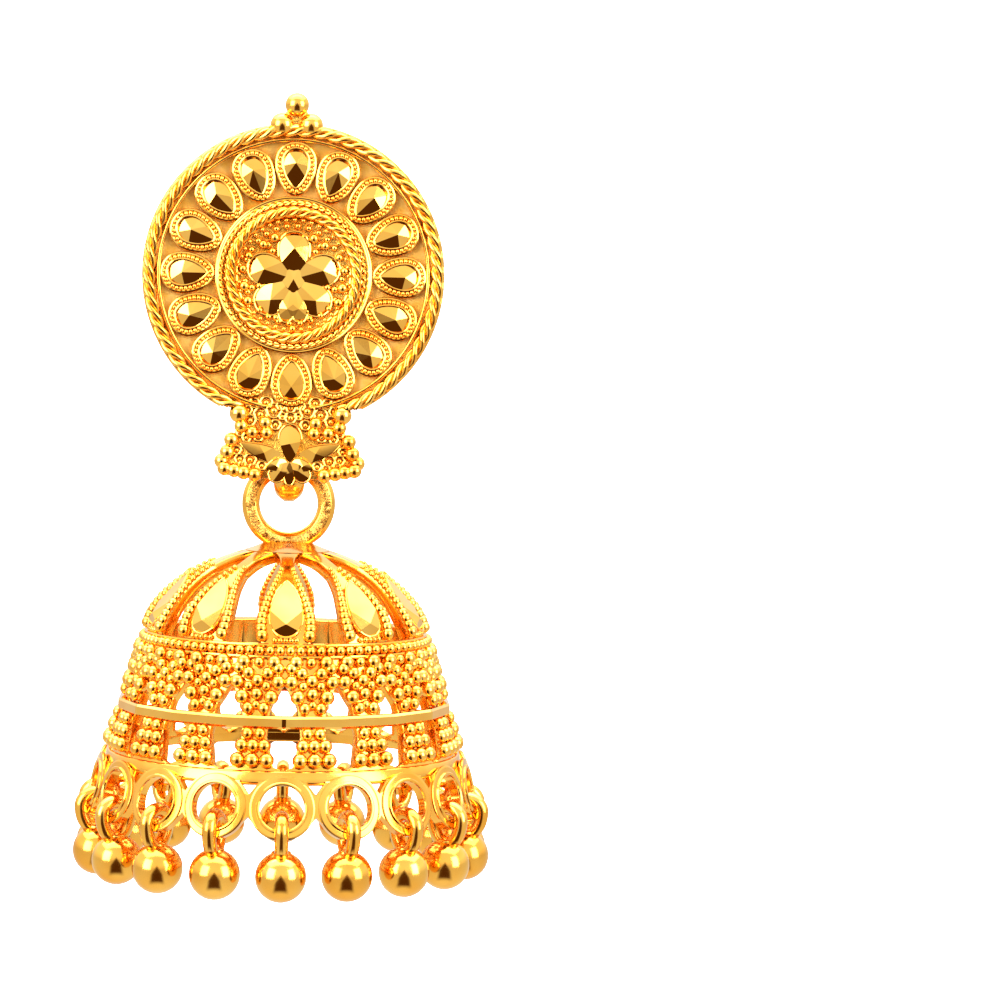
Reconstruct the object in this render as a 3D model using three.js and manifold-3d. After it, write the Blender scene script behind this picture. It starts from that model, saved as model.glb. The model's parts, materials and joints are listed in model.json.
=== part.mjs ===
// A gold jhumka earring: a round stud with a connector plate below it, a ring that
// swings in the plate's lug, and a domed bell soldered to the ring with eighteen drops.
// Millimetres, +Z up. The front faces -Y and the ear is on the +Y side. The origin is
// the middle of the stud's flat back, where the ear post leaves it.
import * as THREE from 'three';
import { mergeVertices } from 'three/addons/utils/BufferGeometryUtils.js';
import Module from 'manifold-3d';

const wasm = await Module();
wasm.setup();

// ---- driving dimensions ----
const DISC_R = 9.54;
const PLATE_T = 0.6;
const RIM_W = 0.95;
const RIM_FRONT = 1.25;
const MEDALLION = { inner: 3.68, outer: 4.93, front: 1.45 };
const BED_FRONT = 0.8;
const PEAR = { count: 16, radius: 6.85, length: 3.5, width: 2.5, front: 1.3 };
const PETAL = { length: 2.6, width: 1.9, front: 1.45 };
const TOP_BEAD_R = 0.75;
const POST = { r: 0.55, length: 11, foot: 0.4, gap: 0.15 };

const RING = { centreZ: -14.6, wireCentreR: 2.41, wireR: 0.57 };
const HINGE_Y = 1.6;
const HINGE_Z = RING.centreZ + RING.wireCentreR;
const LUG = { width: 1.95, holeR: 0.95, bodyR: 1.85, bottom: -14.44 };

const SHEET_T = 0.6;
const CAGE_COUNT = 10;
const GROUP_COUNT = 18;
const LOOP = { z: -32.55, r: 11.82, outer: 1.95, hole: 1.35, side: 2.12, t: 0.55, lean: 13 };
const BALL = { r: 1.58, axisR: 11.85, z: -36.76 };
const DROP_WIRE = { r: 0.4, axisR: 12.0, half: 0.93, z: -33.95, above: 0.83, below: 1.45 };

// dome plates, from the collar down: height, distance from the axis, half width
const CAGE_ROWS = [
  { z: -17.55, r: 2.2, half: 0.47 },
  { z: -18.0, r: 3.85, half: 0.47 },
  { z: -18.6, r: 5.1, half: 0.5 },
  { z: -19.3, r: 6.2, half: 0.85 },
  { z: -20.2, r: 7.3, half: 1.25 },
  { z: -21.2, r: 8.15, half: 1.55 },
  { z: -22.1, r: 8.65, half: 1.5 },
  { z: -22.8, r: 8.85, half: 1.15 },
];
// wall groups under the bead ring, and the pillars under the middle band
const GROUP_ROWS = [
  { z: -25.1, r: 9.98, half: 1.4 },
  { z: -27.25, r: 10.4, half: 0.8 },
];
const PILLAR_ROWS = [
  { z: -27.65, r: 10.5, half: 0.8 },
  { z: -30.5, r: 11.2, half: 1.35 },
];
const WALL_T = 0.8;

// closed profiles of the turned rings of the bell: distance from the axis, height
const COLLAR = [[0, -17.2], [1.9, -17.25], [3.1, -17.5], [3.9, -17.95], [3.6, -18.4], [0, -17.9]];
const UPPER_WALL = [[8.2, -22.6], [8.95, -22.6], [9.35, -23.2], [10.1, -25.3], [9.3, -25.3], [8.5, -23.4]];
const MIDDLE_BAND = [[9.95, -27.05], [10.56, -27.05], [10.62, -27.85], [10.0, -27.85]];
const LOWER_BAND = [[10.7, -30.3], [11.26, -30.3], [11.5, -31.15], [10.95, -31.15]];

// connector plate: half outline from the top down, and the beads soldered on it
const PLATE_HALF = [[4.6, -7.9], [3.5, -8.9], [3.3, -9.9], [4.1, -11.1], [4.55, -12.1], [4.3, -12.75], [2.4, -13.0]];
const PLATE_BEADS = [
  { x: 3.35, z: -8.8, r: 0.62 },
  { x: 3.15, z: -9.6, r: 0.45 },
  { x: 3.7, z: -10.45, r: 0.48 },
  { x: 4.0, z: -11.2, r: 0.48 },
  { x: 4.35, z: -11.8, r: 0.42 },
  { x: 4.05, z: -12.3, r: 0.42 },
  { x: 3.35, z: -12.45, r: 0.42 },
  { x: 2.65, z: -12.6, r: 0.42 },
];
const STAR_TIPS = [
  { angle: 90, length: 2.2 },
  { angle: 158, length: 2.75 },
  { angle: 205, length: 1.4 },
  { angle: 270, length: 1.35 },
  { angle: 335, length: 1.4 },
  { angle: 22, length: 2.75 },
];
const STAR_Z = -11.85;

// ---- solids ----
const DEG = Math.PI / 180;

function toSolid(geometry) {
  const bare = geometry.clone();
  for (const name of Object.keys(bare.attributes)) {
    if (name !== 'position') bare.deleteAttribute(name);
  }
  const merged = mergeVertices(bare, 1e-4);
  return new wasm.Manifold(new wasm.Mesh({
    numProp: 3,
    vertProperties: new Float32Array(merged.attributes.position.array),
    triVerts: new Uint32Array(merged.index.array),
  }));
}

function toGeometry(solid) {
  const mesh = solid.getMesh();
  const geometry = new THREE.BufferGeometry();
  geometry.setAttribute('position', new THREE.BufferAttribute(mesh.vertProperties, 3));
  geometry.setIndex(new THREE.BufferAttribute(mesh.triVerts, 1));
  return geometry;
}

function join(geometries) {
  return geometries.map(toSolid).reduce((whole, solid) => whole.add(solid));
}

// a flat outline in the X-Z plane, raised from `back` to `front` towards -Y
function slab(shape, back, front, curveSegments = 12) {
  const geometry = new THREE.ExtrudeGeometry(shape, {
    depth: front - back, bevelEnabled: false, curveSegments,
  });
  geometry.translate(0, 0, back);
  geometry.rotateX(Math.PI / 2);
  return geometry;
}

function polygon(points) {
  return new THREE.Shape(points.map(([x, z]) => new THREE.Vector2(x, z)));
}

function turned(profile, segments) {
  const points = profile.map(([r, z]) => new THREE.Vector2(r, z));
  if (profile[0][0] !== 0) points.push(points[0].clone());
  points.reverse();
  const geometry = new THREE.LatheGeometry(points, segments);
  geometry.rotateX(Math.PI / 2);
  return geometry;
}

// a bent bar whose four-cornered sections follow rows of height, radius and half width
function bar(rows, thickness) {
  const corners = rows.map((row, i) => {
    const before = rows[Math.max(i - 1, 0)];
    const after = rows[Math.min(i + 1, rows.length - 1)];
    const along = new THREE.Vector2(after.r - before.r, after.z - before.z).normalize();
    const inR = row.r + along.y * thickness;
    const inZ = row.z - along.x * thickness;
    return [
      [-row.half, -row.r, row.z],
      [row.half, -row.r, row.z],
      [row.half, -inR, inZ],
      [-row.half, -inR, inZ],
    ];
  });
  const index = [0, 1, 2, 0, 2, 3];
  for (let i = 0; i + 1 < rows.length; i += 1) {
    for (let k = 0; k < 4; k += 1) {
      const a = i * 4 + k;
      const b = i * 4 + ((k + 1) % 4);
      index.push(a, b + 4, b, a, a + 4, b + 4);
    }
  }
  const last = (rows.length - 1) * 4;
  index.push(last, last + 2, last + 1, last, last + 3, last + 2);
  const geometry = new THREE.BufferGeometry();
  geometry.setAttribute('position', new THREE.Float32BufferAttribute(corners.flat(2), 3));
  geometry.setIndex(index);
  return geometry;
}

function bead(r, x, y, z) {
  const geometry = new THREE.IcosahedronGeometry(r, 0);
  geometry.translate(x, y, z);
  return geometry;
}

function copies(count, first, make) {
  return Array.from({ length: count }, (_, i) => {
    const geometry = make();
    geometry.rotateZ((first + (360 / count) * i) * DEG);
    return geometry;
  });
}

function mesh(name, geometry, material) {
  const made = new THREE.Mesh(geometry, material);
  made.name = name;
  return made;
}

// ---- the stud: disc, settings, flower, granules, connector plate and lug, all soldered ----
function pearShape(length, width) {
  const right = [[0.3, -0.2], [0.5, 0.12], [0.36, 0.38]];
  const left = right.map(([x, z]) => [-x, z]).reverse();
  const outline = [[0, -0.55], ...right, [0, 0.48], ...left];
  return polygon(outline.map(([x, z]) => [x * width, z * length]));
}

function disc() {
  const socket = POST.r + POST.gap;
  const profile = [
    [0, POST.foot], [socket, POST.foot], [socket, 0],
    [DISC_R - 0.3, 0], [DISC_R, 0.4], [DISC_R - 0.1, 1.0], [DISC_R - RIM_W / 2, RIM_FRONT],
    [DISC_R - RIM_W, PLATE_T], [MEDALLION.outer, PLATE_T], [MEDALLION.outer - 0.3, MEDALLION.front],
    [MEDALLION.inner + 0.3, MEDALLION.front], [MEDALLION.inner, BED_FRONT], [0, BED_FRONT],
  ];
  const points = profile.map(([r, forward]) => new THREE.Vector2(r, forward));
  const geometry = new THREE.LatheGeometry(points, 40);
  geometry.rotateX(Math.PI);
  return geometry;
}

function settingPieces() {
  return Array.from({ length: PEAR.count }, (_, i) => {
    const setting = slab(pearShape(PEAR.length, PEAR.width), PLATE_T - 0.2, PEAR.front, 3);
    setting.translate(0, 0, PEAR.radius);
    setting.rotateY((360 / PEAR.count) * i * DEG);
    return setting;
  });
}

function flowerPieces() {
  return Array.from({ length: 5 }, (_, i) => {
    const petal = slab(pearShape(PETAL.length, PETAL.width), PLATE_T, PETAL.front, 3);
    petal.translate(0, 0, PETAL.length * 0.5);
    petal.rotateY((360 / 5) * i * DEG);
    return petal;
  });
}

function topPieces() {
  const backing = polygon([[-1.6, 8.9], [1.6, 8.9], [1.5, 9.7], [0.5, 10.9], [-0.5, 10.9], [-1.5, 9.7]]);
  const rise = DISC_R - 0.2;
  const spots = [[0, rise + 1.35], [-0.92, rise + 0.05], [0.92, rise + 0.05]];
  const beads = spots.map(([x, z]) => {
    const granule = new THREE.SphereGeometry(TOP_BEAD_R, 8, 6);
    granule.translate(x, -0.75, z);
    return granule;
  });
  return [slab(backing, 0.15, PLATE_T), ...beads];
}

function connectorPieces() {
  const left = PLATE_HALF.map(([x, z]) => [-x, z]);
  const plate = slab(polygon([...left, ...PLATE_HALF.toReversed()]), 0.1, PLATE_T + 0.1);
  const beads = PLATE_BEADS.flatMap(({ x, z, r }) => [bead(r, x, -0.75, z), bead(r, -x, -0.75, z)]);
  const star = new THREE.Shape();
  STAR_TIPS.forEach(({ angle, length }, i) => {
    const next = STAR_TIPS[(i + 1) % STAR_TIPS.length];
    const turn = (next.angle - angle + 360) % 360;
    const notch = angle + turn / 2;
    const tip = [Math.cos(angle * DEG) * length, STAR_Z + Math.sin(angle * DEG) * length];
    if (i === 0) star.moveTo(...tip);
    else star.lineTo(...tip);
    star.lineTo(Math.cos(notch * DEG) * 0.8, STAR_Z + Math.sin(notch * DEG) * 0.8);
  });
  return [plate, slab(star, PLATE_T, 1.25), ...beads];
}

function lug() {
  const round = new THREE.CylinderGeometry(LUG.bodyR, LUG.bodyR, LUG.width, 24);
  round.rotateZ(Math.PI / 2);
  round.translate(0, HINGE_Y, LUG.bottom + LUG.bodyR);
  const root = new THREE.BoxGeometry(LUG.width, 1.0, 2.4);
  root.translate(0, 0.2, HINGE_Z + 0.1);
  const hole = new THREE.CylinderGeometry(LUG.holeR, LUG.holeR, LUG.width * 2, 24);
  hole.rotateZ(Math.PI / 2);
  hole.translate(0, HINGE_Y, HINGE_Z);
  return join([round, root]).subtract(toSolid(hole));
}

function studSolid() {
  const pieces = [disc(), ...settingPieces(), ...flowerPieces(), ...topPieces(), ...connectorPieces()];
  return join(pieces).add(lug());
}

function earPost() {
  const tip = POST.length;
  const inner = -POST.foot + POST.gap;
  const profile = [[0, inner], [POST.r, inner], [POST.r, tip - 0.5], [POST.r * 0.45, tip], [0, tip]].reverse();
  const post = turned(profile, 20);
  post.rotateX(-Math.PI / 2);
  return post;
}

// ---- the bell: ring, collar, dome plates, wall, bands and rim loops, all soldered ----
function rimLoop() {
  const { side, outer, hole, t, lean } = LOOP;
  const right = [[side, 1.55], [side, -0.55], [outer * 0.8, -outer * 0.62], [outer * 0.42, -outer * 0.94]];
  const left = right.map(([x, z]) => [-x, z]).reverse();
  const shape = polygon([...left, ...right].reverse());
  const gap = new THREE.Path();
  gap.absarc(0, 0, hole, 0, Math.PI * 2, true);
  shape.holes.push(gap);
  const loop = slab(shape, -t, 0, 6);
  loop.rotateX(-lean * DEG);
  loop.translate(0, -LOOP.r, LOOP.z);
  return loop;
}

function bellSolid() {
  const ring = new THREE.TorusGeometry(RING.wireCentreR, RING.wireR, 6, 24);
  ring.rotateX(Math.PI / 2);
  ring.translate(0, 0, RING.centreZ);
  const pitch = 360 / GROUP_COUNT;
  return join([
    ring,
    turned(COLLAR, 30),
    turned(UPPER_WALL, 36),
    turned(MIDDLE_BAND, 36),
    turned(LOWER_BAND, 36),
    ...copies(CAGE_COUNT, 0, () => bar(CAGE_ROWS, SHEET_T)),
    ...copies(GROUP_COUNT, pitch / 2, () => bar(GROUP_ROWS, WALL_T)),
    ...copies(GROUP_COUNT, pitch / 2, () => bar(PILLAR_ROWS, WALL_T)),
    ...copies(GROUP_COUNT, 0, rimLoop),
  ]);
}

// ---- a drop: a ball soldered on a pear-shaped wire that hangs through a rim loop ----
function dropSolid() {
  const wire = new THREE.TorusGeometry(DROP_WIRE.half, DROP_WIRE.r, 5, 12);
  const place = wire.attributes.position;
  const across = DROP_WIRE.half;
  for (let i = 0; i < place.count; i += 1) {
    const side = place.getX(i);
    const up = place.getY(i);
    const stretch = (up > 0 ? DROP_WIRE.above : DROP_WIRE.below) / across;
    const narrow = up > 0 ? 1 : 1 + (0.2 * up) / across;
    const thick = Math.sign(up) * Math.max(Math.abs(up) - across, 0);
    const lifted = (up - thick) * stretch + thick;
    place.setXYZ(i, side * narrow, lifted, place.getZ(i));
  }
  wire.rotateX(Math.PI / 2);
  wire.rotateZ(Math.PI / 2);
  wire.translate(0, -DROP_WIRE.axisR, DROP_WIRE.z);
  const ball = new THREE.SphereGeometry(BALL.r, 10, 6);
  ball.rotateX(Math.PI / 2);
  ball.translate(0, -BALL.axisR, BALL.z);
  return join([wire, ball]);
}

// ---- assembly ----
const brightGold = new THREE.MeshStandardMaterial({ color: 0xf2b84b, roughness: 0.18, metalness: 1 });
const plainGold = new THREE.MeshStandardMaterial({ color: 0xd9a441, roughness: 0.3, metalness: 1 });

const earring = new THREE.Group();
earring.add(mesh('stud', toGeometry(studSolid()), brightGold));
earring.add(mesh('ear_post', earPost(), plainGold));

const hanging = new THREE.Group();
hanging.position.set(0, HINGE_Y, 0);
hanging.add(mesh('bell', toGeometry(bellSolid()), brightGold));
const dropGeometry = toGeometry(dropSolid());
for (let i = 0; i < GROUP_COUNT; i += 1) {
  const drop = mesh(`drop_${String(i + 1).padStart(2, '0')}`, dropGeometry, brightGold);
  drop.rotation.z = ((360 / GROUP_COUNT) * i) * DEG;
  hanging.add(drop);
}
earring.add(hanging);

export default earring;
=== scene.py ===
# %% Load the frame
import json
import math

import bpy
import numpy as np
from mathutils import Matrix, Vector
from mathutils.geometry import interpolate_bezier


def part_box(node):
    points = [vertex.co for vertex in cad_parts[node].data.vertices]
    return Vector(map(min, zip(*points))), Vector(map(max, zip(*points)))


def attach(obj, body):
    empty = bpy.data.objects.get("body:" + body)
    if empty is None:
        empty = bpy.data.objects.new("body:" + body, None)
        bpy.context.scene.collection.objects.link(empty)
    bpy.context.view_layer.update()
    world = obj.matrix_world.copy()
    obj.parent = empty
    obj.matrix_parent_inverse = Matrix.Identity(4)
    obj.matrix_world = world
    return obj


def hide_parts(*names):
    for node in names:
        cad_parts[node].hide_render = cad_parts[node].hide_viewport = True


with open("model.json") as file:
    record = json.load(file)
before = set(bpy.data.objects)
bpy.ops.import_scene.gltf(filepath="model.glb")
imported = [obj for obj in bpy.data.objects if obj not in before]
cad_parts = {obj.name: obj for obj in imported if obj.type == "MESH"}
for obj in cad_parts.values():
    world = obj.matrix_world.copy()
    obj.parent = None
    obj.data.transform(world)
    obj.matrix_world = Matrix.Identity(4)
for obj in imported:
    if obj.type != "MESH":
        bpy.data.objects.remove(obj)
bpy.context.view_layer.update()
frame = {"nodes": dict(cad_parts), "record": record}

# %% [markdown]
# A jhumka is goldsmith's work in three stages: a flat stud built up from wire, cups and
# granules; a bell raised from pierced sheet; and a fringe of balls on wire loops. It could
# be modelled as one big mesh, but the maker's way is easier to follow: each piece is made
# flat on the bench, in millimetres, and then soldered in its place. So the bench is the
# X-Y plane with the front facing up, and every piece is brought to metres at the end.

# %% [markdown]
# Lengths are in millimetres until a piece is handed over. The outlines of the disc, the
# bell and a drop are read from the frame's own boxes, and wire and ball sizes are the
# goldsmith's usual gauges.

# %% Sizes from the frame
MM = 0.001


def box_mm(node):
    low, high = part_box(node)
    return Vector(low) / MM, Vector(high) / MM


STUD_LOW, STUD_HIGH = box_mm("stud")
BELL_LOW, BELL_HIGH = box_mm("bell")
DROP_LOW, DROP_HIGH = box_mm("drop_01")
JOINTS = frame["record"]["behaviour"]["joints"]
SWING = next(joint for joint in JOINTS if joint["name"] == "bell_swing")
HINGE = Vector(SWING["pos_m"]) / MM
DROP_NODES = sorted(name for name in frame["nodes"] if name.startswith("drop_"))

DISC_R = (STUD_HIGH.x - STUD_LOW.x) / 2
PLATE_T = 0.6
RING_WIRE_R = 0.57
RING_R = 2.41
RING_Z = HINGE.z - RING_R
RIM_Z = BELL_LOW.z
BALL_R = 1.58
BALL_Z = DROP_LOW.z + BALL_R
BALL_AXIS_R = 11.85
PLATES = 10
GROUPS = len(DROP_NODES)
print("disc radius", round(DISC_R, 2), "hinge", HINGE, "rim", round(RIM_Z, 2), "drops", GROUPS)

# %% [markdown]
# A few bench tools are used for every piece. Faces are picked in code by place, because no
# one is there to click, and everything else is deselected first.

# %% Bench tools
def only(*pieces):
    bpy.ops.object.select_all(action="DESELECT")
    for piece in pieces:
        piece.select_set(True)
    bpy.context.view_layer.objects.active = pieces[0]
    return pieces[0]


def edit(piece, action, select=None):
    """Run one edit-mode action on the faces that select(centre, normal) picks, or on all."""
    only(piece)
    bpy.context.tool_settings.mesh_select_mode = (False, False, True)
    mesh = piece.data
    for part in (mesh.vertices, mesh.edges):
        part.foreach_set("select", [False] * len(part))
    for face in mesh.polygons:
        face.select = select is None or bool(select(face.center, face.normal))
    bpy.ops.object.mode_set(mode="EDIT")
    if select is None:
        bpy.ops.mesh.select_all(action="SELECT")
    action()
    bpy.ops.object.mode_set(mode="OBJECT")
    return piece


def modify(piece, kind, **settings):
    only(piece)
    modifier = piece.modifiers.new(kind.title(), kind)
    for key, value in settings.items():
        setattr(modifier, key, value)
    bpy.ops.object.modifier_apply(modifier=modifier.name)
    return piece


def ease(piece, width, segments=2, angle=30):
    """Round every edge that is sharper than an angle."""
    sharp = math.radians(angle)
    settings = {"limit_method": "ANGLE", "angle_limit": sharp}
    return modify(piece, "BEVEL", width=width, segments=segments, **settings)


def settle(piece):
    only(piece)
    bpy.ops.object.transform_apply(location=True, rotation=True, scale=True)
    return piece


def place(piece, matrix):
    piece.matrix_world = matrix
    return settle(piece)


def clean(piece, gap=0.001):
    def action():
        bpy.ops.mesh.remove_doubles(threshold=gap)
        bpy.ops.mesh.normals_make_consistent(inside=False)
    return edit(piece, action)


def cut_away(piece, select):
    return edit(piece, lambda: bpy.ops.mesh.delete(type="FACE"), select)


def as_mesh(piece):
    only(piece)
    bpy.ops.object.convert(target="MESH")
    return bpy.context.object


def solder(name, *pieces):
    only(*pieces)
    if len(pieces) > 1:
        bpy.ops.object.join()
    joined = bpy.context.object
    joined.name = name
    joined.data.name = name
    return joined


def points_of(piece):
    flat = np.empty(len(piece.data.vertices) * 3)
    piece.data.vertices.foreach_get("co", flat)
    return flat.reshape(-1, 3)


def reshape(piece, rule):
    """Move every vertex by a rule that takes and returns an array of points."""
    piece.data.vertices.foreach_set("co", rule(points_of(piece)).ravel())
    piece.data.update()
    return piece


def scatter(name, pattern, places):
    """One mesh of the pattern's copies, one for each place (a 4 x 4 matrix); it is used up."""
    mesh = pattern.data
    points = points_of(pattern)
    loops = np.empty(len(mesh.loops), np.int64)
    mesh.loops.foreach_get("vertex_index", loops)
    totals = np.empty(len(mesh.polygons), np.int64)
    mesh.polygons.foreach_get("loop_total", totals)
    moves = [np.array(matrix) for matrix in places]
    joined = bpy.data.meshes.new(name)
    joined.vertices.add(len(points) * len(moves))
    joined.loops.add(len(loops) * len(moves))
    joined.polygons.add(len(totals) * len(moves))
    moved = np.concatenate([points @ move[:3, :3].T + move[:3, 3] for move in moves])
    joined.vertices.foreach_set("co", moved.ravel())
    corners = np.concatenate([loops + i * len(points) for i in range(len(moves))])
    joined.loops.foreach_set("vertex_index", corners)
    every_total = np.tile(totals, len(moves))
    starts = np.concatenate([[0], np.cumsum(every_total)[:-1]])
    joined.polygons.foreach_set("loop_start", starts)
    joined.polygons.foreach_set("loop_total", every_total)
    joined.update(calc_edges=True)
    piece = bpy.data.objects.new(name, joined)
    bpy.context.scene.collection.objects.link(piece)
    bpy.data.objects.remove(pattern)
    return piece


def turn(angle, axis="Z"):
    return Matrix.Rotation(math.radians(angle), 4, axis)


def shift(x=0.0, y=0.0, z=0.0):
    return Matrix.Translation((x, y, z))


def size(x, y=None, z=None):
    return Matrix.Diagonal((x, x if y is None else y, x if z is None else z, 1))


STAND = turn(90, "X")
print("bench ready; a piece's front is +Z on the bench and", STAND @ Vector((0, 0, 1)), "when it hangs")

# %% [markdown]
# Shader maths reads best as plain expressions. This small class wraps one output socket, so
# that noise * 0.2 + 0.1 adds the two Math nodes for it, and one method makes any other node.

# %% Shader sockets as expressions
class Socket:
    def __init__(self, tree, link):
        self.tree = tree
        self.link = link

    def node(self, kind, settings=(), **inputs):
        made = self.tree.nodes.new(kind)
        for key, value in dict(settings).items():
            if key == "stops":
                ramp = made.color_ramp
                while len(ramp.elements) < len(value):
                    ramp.elements.new(0.5)
                for element, (position, colour) in zip(ramp.elements, value):
                    element.position = position
                    element.color = colour
            else:
                setattr(made, key, value)
        for key, value in inputs.items():
            socket = made.inputs[int(key[1:])] if key[0] == "_" else made.inputs[key.replace("_", " ")]
            if isinstance(value, Socket):
                self.tree.links.new(value.link, socket)
            else:
                socket.default_value = value
        return Socket(self.tree, made.outputs[0])

    def maths(self, operation, other, swapped=False):
        first, second = (other, self) if swapped else (self, other)
        return self.node("ShaderNodeMath", {"operation": operation}, _0=first, _1=second)

    def __add__(self, other):
        return self.maths("ADD", other)

    def __mul__(self, other):
        return self.maths("MULTIPLY", other)

    def __sub__(self, other):
        return self.maths("SUBTRACT", other)

    def __rsub__(self, other):
        return self.maths("SUBTRACT", other, swapped=True)

    __radd__ = __add__
    __rmul__ = __mul__


def material_start(name):
    material = bpy.data.materials.new(name)
    material.use_nodes = True
    tree = material.node_tree
    tree.nodes.clear()
    output = tree.nodes.new("ShaderNodeOutputMaterial")
    shader = tree.nodes.new("ShaderNodeBsdfPrincipled")
    tree.links.new(shader.outputs[0], output.inputs["Surface"])
    where = tree.nodes.new("ShaderNodeTexCoord")
    return material, shader, Socket(tree, where.outputs["Object"])


# %% [markdown]
# All of it is yellow gold of about 22 carat. What changes is the finish: burnished beads and
# mirror cuts, drawn wire that is a little softer, a matte sandblasted ground, and the ring's
# engraved front. Gold's colour is in its reflection, so each finish is a metal whose tint,
# roughness and fine relief vary slightly over the surface; the engraved front's colour also
# carries painted shade, dark specks for its graver's cuts.

# %% Gold finishes
SMEARS = 1.6


def gold(name, low, high, rough, rough_swing, grain, grain_size, patches=0.35):
    """grain is the relief's depth and grain_size its scale, in mm; patches is tones for each mm."""
    material, shader, where = material_start(name)
    print("finish:", name)
    tone = where.node("ShaderNodeTexNoise", Vector=where, Scale=patches / MM, Detail=2.0)
    smear = where.node("ShaderNodeTexNoise", Vector=where, Scale=SMEARS / MM, Detail=3.0)
    stops = [(0.35, (*low, 1)), (0.65, (*high, 1))]
    colour = where.node("ShaderNodeValToRGB", {"stops": stops}, Fac=tone)
    rough_map = smear * rough_swing + (rough - rough_swing / 2)
    tree = material.node_tree
    tree.links.new(colour.link, shader.inputs["Base Color"])
    tree.links.new(rough_map.link, shader.inputs["Roughness"])
    shader.inputs["Metallic"].default_value = 1.0
    fine = 1 / (grain_size * MM)
    relief = where.node("ShaderNodeTexNoise", Vector=where, Scale=fine, Detail=4.0, Roughness=0.7)
    bump = where.node("ShaderNodeBump", Height=relief, Strength=1.0, Distance=grain * MM)
    tree.links.new(bump.link, shader.inputs["Normal"])
    return material


WARM = (0.9, 0.41, 0.05)
BRIGHT = (0.98, 0.54, 0.1)

# %% [markdown]
# Burnished work: mirror cuts made with a polished diamond are almost flawless, granules
# come smooth from the melt, and the balls are polished by hand and keep a satin haze.

# %% Burnished finishes
MIRROR = gold("mirror_cut_gold", (0.95, 0.47, 0.07), (0.98, 0.55, 0.11), 0.05, 0.03, 0.002, 1.2)
BEAD = gold("burnished_bead_gold", WARM, BRIGHT, 0.07, 0.03, 0.002, 0.4)
BALL = gold("satin_ball_gold", WARM, BRIGHT, 0.15, 0.05, 0.002, 0.4)

# %% [markdown]
# Worked metal: drawn wire has fine die marks, and raised sheet is planished and then
# polished, so its relief is wider and shallower. The hidden pin is only satin.

# %% Wire and sheet finishes
WIRE = gold("drawn_wire_gold", WARM, BRIGHT, 0.1, 0.06, 0.004, 0.15)
SHEET = gold("raised_sheet_gold", WARM, BRIGHT, 0.13, 0.08, 0.004, 0.5)
PIN = gold("satin_pin_gold", (0.8, 0.4, 0.06), (0.9, 0.5, 0.11), 0.3, 0.12, 0.008, 0.2)

# %% [markdown]
# Grounds: the field behind ornament is fused filings, deep and orange in its pits; the
# disc's floor is sandblasted, pale and matte; and the ring's front is scratched with a
# graver, and its colour is painted from near black to bright gold every third of a
# millimetre: painted shade for the dark in the graver's cuts.

# %% Ground finishes
GROUND = gold("fused_ground_gold", (0.8, 0.3, 0.02), (1.0, 0.56, 0.1), 0.24, 0.2, 0.1, 0.45)
MATTE = gold("sandblasted_gold", (0.76, 0.38, 0.05), (0.86, 0.5, 0.12), 0.48, 0.15, 0.03, 0.12, 1.2)
# The ring's colour runs from near black to gold in small patches: painted shade for its graver's cuts, not
# a tone of the metal.
ENGRAVED_PAINTED_SHADE = gold("engraved_ring_gold_painted_shade", (0.16, 0.05, 0.004), (0.95, 0.55, 0.12), 0.24, 0.1, 0.06, 0.14, 3.2)


# %% [markdown]
# Every piece leaves the bench the same way: it is scaled from millimetres to metres, given
# its finish and its shading, and told which body it rides on, and the frame's nodes that it
# stands for are hidden.
# The stud's pieces are made flat and stood up first; the bell's are made standing.

# %% Handing a piece over
def hand_over(piece, body, finish, nodes, angle=40):
    """Bring a piece to metres, give it a finish and its body, and hide the nodes it stands for."""
    place(piece, size(MM))
    piece.data.materials.clear()
    piece.data.materials.append(finish)
    only(piece)
    bpy.ops.object.shade_smooth_by_angle(angle=math.radians(angle))
    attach(piece, body)
    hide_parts(*nodes)
    triangles = sum(len(face.vertices) - 2 for face in piece.data.polygons)
    print(f"{piece.name}: {triangles} triangles on {body}")


def stud_piece(piece, finish, angle=40):
    place(piece, STAND)
    hand_over(piece, "stud_body", finish, ["stud"], angle=angle)


def bell_piece(piece, finish, angle=40):
    hand_over(piece, "bell_body", finish, ["bell"], angle=angle)


# %% [markdown]
# Granules are filings melted into balls on charcoal. One ball is made and copied, each copy
# shrunk to its size. An ico sphere has no poles, so it shades evenly at a low face count.
# Wires are tori or bevelled curves. A rope's strands are built straight, as wire is, then
# twisted and bent round, because that is how a twisted rope gets its even lay.

# %% Granules, wires and ropes
def granule(detail):
    bpy.ops.mesh.primitive_ico_sphere_add(subdivisions=detail, radius=1)
    return bpy.context.object


def torus(radius, wire, steps, sides):
    bpy.ops.mesh.primitive_torus_add(
        major_radius=radius, minor_radius=wire, major_segments=steps, minor_segments=sides)
    return bpy.context.object


def tube(sides, radius, depth, ends="NGON"):
    bpy.ops.object.select_all(action="DESELECT")
    bpy.ops.mesh.primitive_cylinder_add(vertices=sides, radius=radius, depth=depth, end_fill_type=ends)
    return bpy.context.object


def ring_wire(radius, wire, z, steps=128, sides=10):
    return place(torus(radius, wire, steps, sides), shift(z=z))


STEPS_PER_TURN = 20
STRAND_SHARE = {2: 0.29, 3: 0.245}


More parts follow.
